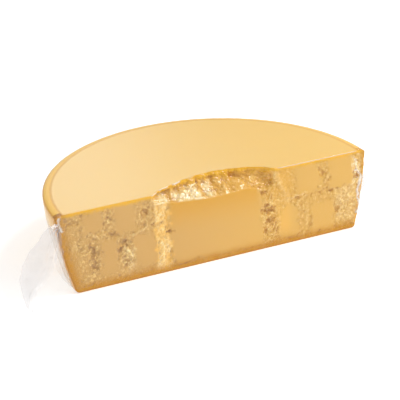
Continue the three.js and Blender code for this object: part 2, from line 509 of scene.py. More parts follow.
@dataclass
class CutFace:
    """The broken face of the half wheel, in millimetres from the wheel's axis and its base."""

    height: float
    ahead_at_top: float = 2.5
    ahead_at_base: float = 10.5
    scoop_left: float = -77.0
    scoop_right: float = 74.0
    scoop_depth: float = 25.0
    scoop_drop: float = 19.0
    scoop_end_drop: float = 11.0
    scoop_right_drop: float = 8.0
    scoop_right_from: float = 38.0
    scoop_right_fade: float = 20.0
    scoop_skew: float = 1.15
    scoop_fullness: float = 0.8
    middle_lean: float = 3.0
    middle_left_fade: float = 20.0
    middle_right_fade: float = 34.0
    mark_fade: float = 4.5
    break_depth: float = 1.4
    edge_fade: float = 3.5
    least_rough: float = 0.55
    coarse_grain: float = 9.0
    middle_grain: float = 3.4
    fine_grain: float = 2.1
    slant: tuple[float, float] = (0.84, 0.54)
    column_width: float = 13.0
    column_squash: float = 0.42
    chunk_size: float = 3.8
    gap_depth: float = 3.8
    calm: Crumble = Crumble(86, 72, 11, 22, 0.35)
    marks: Sequence[BladeMark] = MARKS
    hollows: Sequence[Hollow] = HOLLOWS
    flaps: Sequence[Flap] = FLAPS
    crumbles: Sequence[Crumble] = CRUMBLES
    shadow_spots: Sequence[ShadowSpot] = SHADOW_SPOTS

    def cut(self, z: Array) -> Array:
        """Where the blade's plane lies along Y at a height."""
        return -self.ahead_at_base + (self.ahead_at_base - self.ahead_at_top) * z / self.height

    def arch(self, x: Array) -> Array:
        """How deep the scoop is at a place along the face, as a share of its depth."""
        along = np.clip((x - self.scoop_left) / (self.scoop_right - self.scoop_left), 0.0, 1.0)
        return np.clip(np.sin(np.pi * along**self.scoop_skew), 0.0, 1.0) ** self.scoop_fullness

    def up_scoop(self, x: Array, z: Array) -> Array:
        """How far up the scoop a place lies.

        Args:
            x: Places along the face.
            z: Places up the face.

        Returns:
            Under 0 below its ledge and 1 at the rim.
        """
        drop_here = self.scoop_end_drop + (self.scoop_drop - self.scoop_end_drop) * self.arch(x)
        far_right = ease((x - self.scoop_right_from) / self.scoop_right_fade)
        drop_here = drop_here + self.scoop_right_drop * far_right
        return (z - (self.height - drop_here)) / drop_here

    def scoop(self, x: Array, z: Array) -> Array:
        """How far the scoop sets the face back."""
        up = np.clip(self.up_scoop(x, z), 0.0, 1.0)
        return self.scoop_depth * self.arch(x) * np.sin(np.pi / 2 * up)

    def in_scoop(self, x: Array, z: Array) -> Array:
        """1 inside the scoop, 0 outside it."""
        return ease(self.up_scoop(x, z) * 6.0 + 0.4) * ease(self.arch(x) * 5.0)

    def lean(self, x: Array, z: Array) -> Array:
        """How far the face below the scoop leans back.

        Args:
            x: Places along the face.
            z: Places up the face.

        Returns:
            Millimetres along Y.
        """
        comes_in = ease((x - self.scoop_left) / self.middle_left_fade)
        goes_out = ease((self.scoop_right + self.middle_right_fade / 2 - x) / self.middle_right_fade)
        return self.middle_lean * comes_in * goes_out * ease(z / self.height)

    def broken(self, x: Array, z: Array) -> Array:
        """Where the cheese split rather than was cut.

        Args:
            x: Places along the face.
            z: Places up the face.

        Returns:
            1 where it split, 0 on the blade's marks.
        """
        ragged = 3.4 * lumps(x, z, 9.0, 11) + 2.4 * lumps(x, z, 4.0, 12) + 1.2 * lumps(x, z, 1.8, 13)
        most = np.zeros(np.shape(x))
        for mark in self.marks:
            inside_x = np.minimum(x - mark.left, mark.right - x)
            inside_z = np.minimum(z - mark.low, mark.high - z)
            most = np.maximum(most, ease((np.minimum(inside_x, inside_z) + ragged) / self.mark_fade + 0.5))
        outside = 1.0 - most
        rim = ease((np.minimum(z, self.height - z) - 1.5) / self.edge_fade)
        return np.maximum(outside * rim, self.in_scoop(x, z))

    def pits(self, x: Array, z: Array) -> Array:
        """How deep the hollows go.

        Args:
            x: Places along the face.
            z: Places up the face.

        Returns:
            Millimetres along Y.
        """
        total = np.zeros(np.shape(x))
        stray_x = x + 2.6 * lumps(x, z, 5.0, 141) + 1.2 * lumps(x, z, 2.4, 142)
        stray_z = z + 2.6 * lumps(x, z, 5.0, 151) + 1.2 * lumps(x, z, 2.4, 152)
        for pit in self.hollows:
            away = ((stray_x - pit.x) / pit.wide) ** 2 + ((stray_z - pit.z) / pit.tall) ** 2
            total = np.maximum(total, pit.deep * np.exp(-away * 1.2))
        return total

    def shadow_spotted(self, x: Array, z: Array) -> Array:
        """How dark the painted shadow spots make the break.

        Args:
            x: Places along the face.
            z: Places up the face.

        Returns:
            From 0 to 1.
        """
        spots = [np.exp(-(((x - spot.x) / spot.wide) ** 2) - ((z - spot.z) / spot.tall) ** 2)
                 for spot in self.shadow_spots]
        return np.max(spots, 0) * ease(lumps(x, z, 3.2, 231) * 1.2 + 0.55)

    def crumbled(self, x: Array, z: Array) -> Array:
        """How rough the break is.

        Args:
            x: Places along the face.
            z: Places up the face.

        Returns:
            From a calm share up to about 1.
        """
        stray_x = x + 4.0 * lumps(x, z, 8.0, 161)
        stray_z = z + 4.0 * lumps(x, z, 8.0, 171)
        calm = self.calm
        lull = np.exp(-(((x - calm.x) / calm.wide) ** 2 + ((z - calm.z) / calm.tall) ** 2))
        most = self.least_rough + 0.15 * lumps(x, z, 17.0, 181) - calm.strength * lull
        for patch in self.crumbles:
            away = ((stray_x - patch.x) / patch.wide) ** 2 + ((stray_z - patch.z) / patch.tall) ** 2
            most = np.maximum(most, patch.strength * np.exp(-(away**1.5) * 0.6))
        return np.maximum(most, self.in_scoop(x, z))

    def raised(self, x: Array, z: Array) -> Array:
        """How high the flaps stand.

        Args:
            x: Places along the face.
            z: Places up the face.

        Returns:
            Millimetres ahead of the face.
        """
        total = np.zeros(np.shape(x))
        x = x + 2.6 * lumps(x, z, 9.0, 191) + 1.2 * lumps(x, z, 3.0, 192)
        for flap in self.flaps:
            run, rise = flap.x_to - flap.x_from, flap.z_to - flap.z_from
            length = run * run + rise * rise
            along = np.clip(((x - flap.x_from) * run + (z - flap.z_from) * rise) / length, 0.0, 1.0)
            away = np.hypot(x - flap.x_from - along * run, z - flap.z_from - along * rise)
            total = np.maximum(total, flap.height * ease(1.0 - away / (1.4 * flap.width)))
        return total

    def grain(self, x: Array, z: Array) -> Array:
        """The broken grains, coarse to fine.

        Args:
            x: Places along the face.
            z: Places up the face.

        Returns:
            How far they stand ahead of the face.
        """
        wander = 3.0 * lumps(x, z, 9.0, 31)
        level, steep = self.slant
        across, run = level * x - steep * z, steep * x + level * z
        coarse = crumbs(x + wander, z, self.coarse_grain, 21)
        crests = ridged(across + wander, run * 0.36, self.middle_grain, 51)
        middle = crumbs(x, z + wander, self.middle_grain, 41)
        fine = ridged(x, z, self.fine_grain, 61)
        return 0.5 * coarse + 0.75 * crests + 0.55 * middle + 0.4 * fine

    def ledge_grain(self, x: Array, z: Array) -> Array:
        """The chunkier grains of the scoop: upright lumps, with hollows between them under the rim.

        Args:
            x: Places along the face.
            z: Places up the face.

        Returns:
            How far they stand ahead of the face.
        """
        down = z * 1.2 + self.scoop(x, z) * 0.9
        wander = 2.5 * lumps(x, down, 9.0, 85)
        columns = crumbs(x + wander, down * self.column_squash, self.column_width, 81)
        middle = crumbs(x, down + wander, self.chunk_size, 91)
        fine = ridged(x, down, self.fine_grain, 101)
        up = self.up_scoop(x, z)
        under_rim = ease((up - 0.32) / 0.3) * ease((0.84 - up) / 0.16)
        fewer = 1.0 - 0.6 * ease((x - 28) / 16)
        gaps = ease(0.45 - 1.1 * columns + 0.5 * lumps(x, z, 6.0, 111)) * under_rim * fewer
        calm = 1.0 - 0.6 * ease((up - 0.8) / 0.15)
        return (3.1 * columns + 1.1 * middle + 0.65 * fine) * calm - self.gap_depth * gaps

    def base_face(self, x: Array, z: Array) -> Array:
        """Where the face lies before its grains.

        Args:
            x: Places along the face.
            z: Places up the face.

        Returns:
            Its places along Y.
        """
        loose = self.broken(x, z)
        swell = self.break_depth * (1.0 + 0.6 * lumps(x, z, 13.0, 5))
        sunk = loose * (1.0 - self.in_scoop(x, z)) * swell * (0.3 + 0.7 * self.crumbled(x, z))
        pits = self.pits(x, z) * ease(loose * 2.0)
        flaps = self.raised(x, z) * ease(loose * 2.0)
        return self.cut(z) + self.scoop(x, z) + self.lean(x, z) + sunk + pits - flaps


@dataclass
class FaceGrid:
    """The face worked out on a grid, so that meshes and colours can look it up."""

    face: CutFace
    wheel: WheelForm
    cell: float
    margin: float = 8.0
    dense_from: float = 71.0
    dense_cell_share: float = 0.62
    near_reach: float = 2.4
    wide_reach: float = 7.0
    wide_share: float = 0.22

    def __post_init__(self) -> None:
        """Works out the grid's places and the face on them."""
        reach = self.wheel.radius + self.margin
        self.xs = np.linspace(-reach, reach, int(2 * reach / self.cell) + 1)
        top = self.wheel.height + self.margin
        low = np.arange(-self.margin, self.dense_from, self.cell)
        dense_cell = self.cell * self.dense_cell_share
        high = np.linspace(self.dense_from, top, int((top - self.dense_from) / dense_cell))
        self.zs = np.concatenate([low, high])
        self.x, self.z = np.meshgrid(self.xs, self.zs)
        self.base = self.face.base_face(self.x, self.z)
        self.loose = self.face.broken(self.x, self.z)
        scooped = self.face.in_scoop(self.x, self.z)
        plain = self.face.grain(self.x, self.z)
        chunky = self.face.ledge_grain(self.x, self.z)
        self.rough = self.face.crumbled(self.x, self.z)
        self.stand = self.loose * (plain * self.rough * (1.0 - scooped) + chunky * scooped)

    def grained(self, share: float) -> tuple[Array, Array, Array]:
        """The face's places with its grains raised square to it.

        Args:
            share: How much of the grains' height is kept.

        Returns:
            The places' x, y and z, each as a grid.
        """
        slope_z = np.gradient(self.base, self.zs, axis=0)
        slope_x = np.gradient(self.base, self.xs, axis=1)
        steep = np.sqrt(1.0 + slope_x**2 + slope_z**2)
        lift = self.stand * share / steep
        return self.x + slope_x * lift, self.base - lift, self.z + slope_z * lift

    def hollow(self) -> Array:
        """How far each place lies behind its surroundings.

        Returns:
            Millimetres along Y, on the grid.
        """
        back = self.base - self.stand
        near = back - blurred(back, max(1, int(self.near_reach / self.cell)))
        wide = back - blurred(back, max(1, int(self.wide_reach / self.cell)))
        return near + self.wide_share * wide

    def look_up(self, grid: Array, x: Array, z: Array) -> Array:
        """A grid's values at any places.

        Args:
            grid: Values on the grid.
            x: Places along the face.
            z: Places up the face.

        Returns:
            One value for each place.
        """
        column = np.clip(np.interp(x, self.xs, np.arange(len(self.xs))), 0, len(self.xs) - 1.001)
        row = np.clip(np.interp(z, self.zs, np.arange(len(self.zs))), 0, len(self.zs) - 1.001)
        i, j = column.astype(int), row.astype(int)
        u, v = column - i, row - j
        low = grid[j, i] * (1 - u) + grid[j, i + 1] * u
        high = grid[j + 1, i] * (1 - u) + grid[j + 1, i + 1] * u
        return low * (1 - v) + high * v

    def cutter(self, name: str, x: Array, y: Array, z: Array) -> bpy.types.Object:
        """A solid that fills everything in front of a face.

        Args:
            name: The object's name.
            x: The face's places along X.
            y: The same along Y.
            z: The same along Z.

        Returns:
            The cutter, in metres.
        """
        rows, columns = x.shape
        bpy.ops.mesh.primitive_grid_add(x_subdivisions=columns - 1, y_subdivisions=rows - 1, size=2.0)
        cutter = bpy.context.object
        cutter.name = name
        flat = places_of(cutter)
        i = np.rint((flat[:, 0] + 1) / 2 * (columns - 1)).astype(int)
        j = np.rint((flat[:, 1] + 1) / 2 * (rows - 1)).astype(int)
        set_places(cutter, np.stack([x[j, i], y[j, i], z[j, i]], 1) * MM)
        bpy.ops.object.mode_set(mode="EDIT")
        bpy.ops.mesh.select_all(action="SELECT")
        bpy.ops.mesh.region_to_loop()
        bpy.ops.mesh.extrude_region_move()
        bpy.ops.mesh.edge_face_add()
        bpy.ops.object.mode_set(mode="OBJECT")
        places = places_of(cutter)
        places[len(flat):, 1] = -(self.wheel.radius + 2 * self.margin) * MM
        set_places(cutter, places)
        bpy.ops.object.mode_set(mode="EDIT")
        bpy.ops.mesh.select_all(action="SELECT")
        bpy.ops.mesh.normals_make_consistent(inside=False)
        bpy.ops.object.mode_set(mode="OBJECT")
        return cutter


# ---- Finishes --------------------------------------------------------------------------------------------


Colour = tuple[float, float, float, float]
Socket = bpy.types.NodeSocket


class Nodes:
    """A short way to lay out a material's nodes."""

    def __init__(self, name: str) -> None:
        """Starts an empty material.

        Args:
            name: The material's name.
        """
        self.material = bpy.data.materials.new(name)
        self.material.use_nodes = True
        self.tree = self.material.node_tree
        self.tree.nodes.clear()
        self.output = self.tree.nodes.new("ShaderNodeOutputMaterial")

    def add(
        self, kind: str, inputs: dict[str | int, object] | None = None, **settings: object
    ) -> bpy.types.Node:
        """Adds a node.

        Args:
            kind: The node's type.
            inputs: What its sockets hold, as a value or as another node's output.
            **settings: Its own settings by name.

        Returns:
            The node.
        """
        node = self.tree.nodes.new(kind)
        for name, value in settings.items():
            setattr(node, name, value)
        for socket, value in (inputs or {}).items():
            if isinstance(value, bpy.types.NodeSocket):
                self.tree.links.new(value, node.inputs[socket])
            else:
                node.inputs[socket].default_value = value
        return node

    def link(self, source: Socket, target: Socket) -> None:
        """Joins two sockets."""
        self.tree.links.new(source, target)

    def attribute(self, name: str) -> Socket:
        """A number kept at each vertex."""
        return self.add("ShaderNodeAttribute", attribute_name=name).outputs["Fac"]

    def place(self) -> Socket:
        """The place in the object's own frame."""
        return self.add("ShaderNodeTexCoord").outputs["Object"]

    def along(self) -> Socket:
        """The place along the object's X."""
        return self.add("ShaderNodeSeparateXYZ", {0: self.place()}).outputs[0]

    def math(self, operation: str, a: object, b: object = 0.0, clamp: bool = False) -> Socket:
        """One sum of two values."""
        return self.add("ShaderNodeMath", {0: a, 1: b}, operation=operation, use_clamp=clamp).outputs[0]

    def times(self, a: object, b: object, clamp: bool = False) -> Socket:
        """Two values multiplied."""
        return self.math("MULTIPLY", a, b, clamp)

    def plus(self, a: object, b: object, clamp: bool = False) -> Socket:
        """Two values added."""
        return self.math("ADD", a, b, clamp)

    def rest(self, share: object) -> Socket:
        """What a share leaves of 1."""
        return self.math("SUBTRACT", 1.0, share)

    def noise(self, size: float, detail: float, roughness: float = 0.5, distortion: float = 0.0) -> Socket:
        """Cloudy noise.

        Args:
            size: About how large its swells are, in metres.
            detail: How many finer layers it has.
            roughness: How strong the finer layers are.
            distortion: How far the swells are twisted.

        Returns:
            A number about 0.5.
        """
        values = {"Vector": self.place(), "Scale": 1.0 / size, "Detail": detail, "Roughness": roughness,
                  "Distortion": distortion}
        return self.add("ShaderNodeTexNoise", values).outputs["Fac"]

    def between(self, value: Socket, low: float, high: float) -> Socket:
        """0 up to low, 1 from high on, and eased between them."""
        values = {"Value": value, "From Min": low, "From Max": high}
        return self.add("ShaderNodeMapRange", values, interpolation_type="SMOOTHSTEP").outputs["Result"]

    def blend(self, share: object, a: object, b: object, way: str = "MIX") -> Socket:
        """Two colours mixed by a share.

        Args:
            share: How much of the second colour shows.
            a: The first colour.
            b: The second colour.
            way: How they are mixed.

        Returns:
            The mixed colour.
        """
        node = self.add("ShaderNodeMix", data_type="RGBA", blend_type=way)
        for socket, value in ((node.inputs[0], share), (node.inputs[6], a), (node.inputs[7], b)):
            if isinstance(value, bpy.types.NodeSocket):
                self.tree.links.new(value, socket)
            else:
                socket.default_value = value
        return node.outputs[2]


def shade(red: float, green: float, blue: float) -> Colour:
    """A colour from its screen values, from 0 to 255.

    Args:
        red: Its red.
        green: Its green.
        blue: Its blue.

    Returns:
        The colour as a material takes it.
    """
    linear = [(value / 255.0 / 12.92) if value <= 10 else ((value / 255.0 + 0.055) / 1.055) ** 2.4
              for value in (red, green, blue)]
    return (linear[0], linear[1], linear[2], 1.0)


@dataclass(frozen=True)
class CheeseFinish:
    """Rind, paste and broken paste of one aged cheese."""

    # The top pales towards its left end as painted sheen.
    top: Colour = shade(243, 207, 138)
    top_far_without_sheen: Colour = shade(235, 192, 102)
    shoulder: Colour = shade(240, 192, 84)
    # Painted shade along the shoulder's two rounded ridges.
    ring: Colour = shade(214, 152, 44)
    side: Colour = shade(234, 184, 80)
    corner: Colour = shade(226, 160, 50)
    paste: Colour = shade(219, 172, 84)
    # Paste on the left of the face, greyer and darker as painted shade.
    paste_left_in_painted_shade: Colour = shade(208, 163, 92)
    # Paste deepened by painted shade under the scoop and beside it.
    paste_in_painted_shade: Colour = shade(214, 155, 34)
    under_rind: Colour = shade(230, 174, 34)
    base_tone: Colour = shade(196, 136, 28)
    # Pale crumbs, also used for painted highlights on raised grains and glints on the ledge.
    crumb: Colour = shade(250, 221, 150)
    edge_tone: Colour = shade(168, 108, 24)
    # White flecks, laid mostly where glints and highlights are painted.
    cream_and_glint: Colour = shade(255, 243, 208)
    warm: Colour = shade(242, 188, 84)
    # Brown of the small spots and painted shadow in the hollows; the left one greyer as painted shade.
    brown_and_hollow_shadow: Colour = shade(186, 128, 52)
    brown_and_hollow_shadow_left: Colour = shade(184, 142, 88)
    rind_depth: float = 6.5 * MM
    base_band: float = 14.0 * MM
    crumb_size: float = 3.2 * MM
    fleck_size: float = 2.4 * MM
    blot_size: float = 4.5 * MM
    wander_size: float = 7.0 * MM
    wander_reach: float = 8.0 * MM
    grain_size: float = 3.2 * MM
    fine_grain_size: float = 1.1 * MM
    smear_size: float = 6.0 * MM
    relief_depth: float = 1.4 * MM
    glow_share: float = 0.12
    glow_depth: float = 4.0 * MM
    smooth_roughness: float = 0.42
    broken_roughness: float = 0.25

    def build(self) -> bpy.types.Material:
        """Lays out the material.

        Returns:
            The cheese's material.
        """
        n = Nodes("aged_cheese")
        on_face = n.attribute("on_face")
        crumbly = n.times(n.attribute("broken"), on_face)
        paste = self.crumbed(n, self.plain_paste(n))
        paste = self.browned(n, self.near_edges(n, paste))
        surface = n.add("ShaderNodeBsdfPrincipled", {
            "Base Color": n.blend(on_face, self.rind(n), paste),
            "Roughness": n.plus(n.times(crumbly, self.broken_roughness), self.smooth_roughness),
            "Normal": self.relief(n, crumbly),
            "Specular IOR Level": 0.15,
            "Subsurface Weight": self.glow_share,
            "Subsurface Radius": (1.0, 0.6, 0.25),
            "Subsurface Scale": self.glow_depth,
        })
        n.link(surface.outputs[0], n.output.inputs["Surface"])
        return n.material

    def rind(self, n: Nodes) -> Socket:
        """The outside: the top, its shoulder between two lines of painted shade, the side and its speckled
        left corner.

        Args:
            n: The material's nodes.

        Returns:
            Its colour.
        """
        rim = n.attribute("from_rim")
        # Painted sheen: the top is paler towards its left end.
        outside = n.blend(n.between(n.along(), -0.13, 0.17), self.top, self.top_far_without_sheen)
        shoulder = n.rest(n.between(rim, 8.0 * MM, 10.0 * MM))
        outside = n.blend(shoulder, outside, self.shoulder)
        # Painted shade: a darker line along each of the shoulder's two rounded ridges.
        inner_ridge_shade = n.times(n.between(rim, 7.0 * MM, 9.0 * MM), n.rest(n.between(rim, 9.5 * MM, 11.5 * MM)))
        outside = n.blend(n.times(inner_ridge_shade, 0.6), outside, self.ring)
        outer_ridge_shade = n.rest(n.between(rim, 0.5 * MM, 2.5 * MM))
        outside = n.blend(n.times(outer_ridge_shade, 0.85), outside, self.ring)
        outside = n.blend(n.attribute("on_side"), outside, self.side)
        dark = n.rest(n.between(n.noise(3.0 * MM, 3.0, 0.7), 0.36, 0.58))
        corner = n.blend(n.times(dark, 0.7), self.corner, self.edge_tone)
        return n.blend(n.attribute("corner"), outside, corner)

    def plain_paste(self, n: Nodes) -> Socket:
        """The paste where the blade slid: greyer on the left and deeper under the scoop as painted shade, and
        warm beside it.

        Args:
            n: The material's nodes.

        Returns:
            Its colour.
        """
        # Painted shade: the paste greys towards the left of the face.
        paste = n.blend(n.between(n.along(), -0.10, 0.12), self.paste_left_in_painted_shade, self.paste)
        # Painted shade: deeper paste toward the top of the middle mark and beside the scoop.
        paste = n.blend(n.times(n.attribute("shade"), 0.8), paste, self.paste_in_painted_shade)
        return n.blend(n.attribute("warm"), paste, self.warm)

    def speckle(self, n: Nodes) -> tuple[Socket, Socket]:
        """The noise behind the small specks and spots of the break.

        Args:
            n: The material's nodes.

        Returns:
            The noise, and how strongly it shows.
        """
        return n.noise(self.crumb_size, 4.0, 0.75), n.plus(n.times(n.attribute("rough"), 0.7), 0.22)

    def crumbed(self, n: Nodes, paste: Socket) -> Socket:
        """Lays pale crumbs, painted highlights on raised grains and white flecks, mostly painted glints, on
        the paste.

        Args:
            n: The material's nodes.
            paste: The colour so far.

        Returns:
            The colour after it.
        """
        loose, rough, white = (n.attribute(name) for name in ("broken", "rough", "ledge"))
        speckle, strength = self.speckle(n)
        # Painted highlight: raised grains turn paler.
        high = n.times(n.between(n.times(n.attribute("hollow"), -1.0), 0.02, 0.6), rough)
        specks = n.times(n.between(speckle, 0.51, 0.64), strength)
        pale = n.plus(n.times(high, 0.4), n.times(specks, 0.85))
        pale = n.times(pale, n.rest(n.times(n.attribute("scooped"), 0.5)))
        pale = n.plus(pale, n.times(white, 0.7))
        paste = n.blend(n.times(loose, pale, clamp=True), paste, self.crumb)
        # Painted glints: white flecks where the ledge mask is high.
        flecks = n.times(n.between(n.noise(self.fleck_size, 3.0, 0.7), 0.44, 0.58), white)
        return n.blend(n.times(loose, flecks, clamp=True), paste, self.cream_and_glint)

    def near_edges(self, n: Nodes, paste: Socket) -> Socket:
        """Turns the paste golden under the rind and brown along the base, with a wandering line.

        Args:
            n: The material's nodes.
            paste: The colour so far.

        Returns:
            The colour after it.
        """
        low = n.attribute("from_base")
        wander = n.times(n.math("SUBTRACT", n.noise(self.wander_size, 4.0, 0.65), 0.5), self.wander_reach)
        near_rind = n.rest(n.between(n.plus(n.attribute("skin_depth"), wander), 1.5 * MM, self.rind_depth))
        paste = n.blend(n.times(near_rind, 0.95), paste, self.under_rind)
        band = n.rest(n.between(n.plus(low, wander), 1.0 * MM, self.base_band))
        paste = n.blend(n.times(band, 0.95), paste, self.base_tone)
        edge = n.rest(n.between(low, 0.6 * MM, 2.6 * MM))
        return n.blend(n.times(edge, 0.6), paste, self.edge_tone)

    def browned(self, n: Nodes, paste: Socket) -> Socket:
        """Darkens the hollows with painted shadow and browns the small spots between the crumbs.

        Args:
            n: The material's nodes.
            paste: The colour so far.

        Returns:
            The colour after it.
        """
        loose, rough = n.attribute("broken"), n.attribute("rough")
        speckle, strength = self.speckle(n)
        spots = n.times(n.rest(n.between(speckle, 0.35, 0.48)), strength)
        blots = n.between(n.noise(self.blot_size, 3.0, 0.6), 0.40, 0.60)
        # Painted shadow: the further a place lies behind its surroundings, the browner.
        deep = n.times(n.between(n.attribute("hollow"), 0.05, 0.95), n.plus(n.times(blots, 0.5), 0.5))
        stain = n.plus(n.times(n.times(blots, 0.25), rough), n.times(spots, 0.5))
        brown = n.times(loose, n.plus(n.times(deep, 0.75), stain), clamp=True)
        brown = n.times(brown, n.between(n.attribute("skin_depth"), 0.8 * MM, 3.2 * MM))
        brown = n.times(brown, n.rest(n.times(n.attribute("scooped"), 0.45)))
        brown_and_hollow_shadow = n.blend(n.between(n.along(), -0.10, 0.04), self.brown_and_hollow_shadow_left, self.brown_and_hollow_shadow)
        return n.blend(brown, paste, brown_and_hollow_shadow)

    def relief(self, n: Nodes, crumbly: Socket) -> Socket:
        """The finest relief: crumbs on the break and faint smears everywhere.

        Args:
            n: The material's nodes.
            crumbly: How broken the place is.

        Returns:
            The bent normal.
        """
        fine = n.times(n.noise(self.fine_grain_size, 3.0, 0.65), 0.4)
        grains = n.plus(fine, n.noise(self.grain_size, 3.0, 0.6, 0.4))
        smear = n.times(n.noise(self.smear_size, 4.0, 0.6), 0.06)
        height = n.plus(n.times(grains, crumbly), smear)
        bump = n.add("ShaderNodeBump", {"Height": height, "Strength": 0.8, "Distance": self.relief_depth})
        return bump.outputs["Normal"]


@dataclass(frozen=True)
class FilmFinish:
    """Clear vacuum film: glossy, milky where layers of it lie together, and milky white where highlights are
    painted.
    """

    # White haze of layered film, also laid as painted highlight lines on the cut's top edge.
    milk: Colour = shade(255, 251, 240)
    loose_milk: Colour = shade(216, 213, 214)
    face_on: float = 0.03
    edge_on: float = 0.5
    smoothness: float = 0.09
    wrinkle: float = 7.0 * MM
    drape: float = 11.0 * MM
    relief_depth: float = 0.8 * MM

    def build(self) -> bpy.types.Material:
        """Lays out the material.

        Returns:
            The film's material.
        """
        n = Nodes("clear_film")
        layers = n.attribute("milkiness")
        creases = n.noise(self.wrinkle, 4.0, 0.6, 1.5)
        fine = n.noise(2.0 * MM, 2.0, 0.5, 0.6)
        upright = n.add("ShaderNodeVectorMath", {0: n.place(), 1: (1.0, 1.0, 0.1)}, operation="MULTIPLY")
        values = {"Vector": upright.outputs[0], "Scale": 1.0 / self.drape, "Detail": 3.0, "Distortion": 0.3}
        drape = n.add("ShaderNodeTexNoise", values).outputs["Fac"]
        hung = n.times(n.math("POWER", drape, 2.0), n.times(n.attribute("side"), 3.5))
        height = n.plus(n.plus(creases, n.times(fine, 0.5)), hung)
        bump = n.add("ShaderNodeBump", {"Height": height, "Strength": 0.35, "Distance": self.relief_depth})
        clear = n.add("ShaderNodeBsdfTransparent", {"Color": (1, 1, 1, 1)})
        tint = n.blend(n.attribute("loose"), self.milk, self.loose_milk)
        haze = n.add("ShaderNodeBsdfDiffuse", {"Color": tint, "Normal": bump.outputs["Normal"]})
        hazy = n.add("ShaderNodeMixShader", {0: layers, 1: clear.outputs[0], 2: haze.outputs[0]})
        gloss = n.add("ShaderNodeBsdfGlossy", {"Color": (1, 1, 1, 1), "Roughness": self.smoothness,
                                               "Normal": bump.outputs["Normal"]})
        facing = n.add("ShaderNodeLayerWeight", {"Blend": 0.5, "Normal": bump.outputs["Normal"]})
        rising = n.times(n.math("POWER", facing.outputs["Facing"], 5.0), self.edge_on)
        glint = n.plus(rising, self.face_on, clamp=True)
        surface = n.add("ShaderNodeMixShader", {0: glint, 1: hazy.outputs[0], 2: gloss.outputs[0]})
        n.link(surface.outputs[0], n.output.inputs["Surface"])
        return n.material


@dataclass(frozen=True)
class SweepFinish:
    """The pale floor of the studio."""

    tone: Colour = (0.8, 0.8, 0.8, 1.0)
    glow: float = 0.42

    def build(self) -> bpy.types.Material:
        """Lays out the material.

        Returns:
            The floor's material.
        """
        n = Nodes("pale_sweep")
        cloth = n.add("ShaderNodeBsdfDiffuse", {"Color": self.tone})
        glow = n.add("ShaderNodeEmission", {"Color": (1, 1, 1, 1), "Strength": self.glow})
        surface = n.add("ShaderNodeAddShader", {0: cloth.outputs[0], 1: glow.outputs[0]})
        n.link(surface.outputs[0], n.output.inputs["Surface"])
        return n.material


# ---- Pieces ----------------------------------------------------------------------------------------------


class Slot(Enum):
    """The record's material slots."""

    CHEESE = "cheese"
    FILM = "film"


def finish_piece(piece: bpy.types.Object, stands_for: str, material: bpy.types.Material) -> None:
    """Dresses a piece and ties it to the frame.

    Args:
        piece: The finished piece, in place.
        stands_for: The frame's node that it replaces.
        material: Its finish.
    """
    piece.data.materials.clear()
    piece.data.materials.append(material)
    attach(piece, BODY)
    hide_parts(stands_for)
    log.info("%s: %d vertices, %d faces", piece.name, len(piece.data.vertices), len(piece.data.polygons))


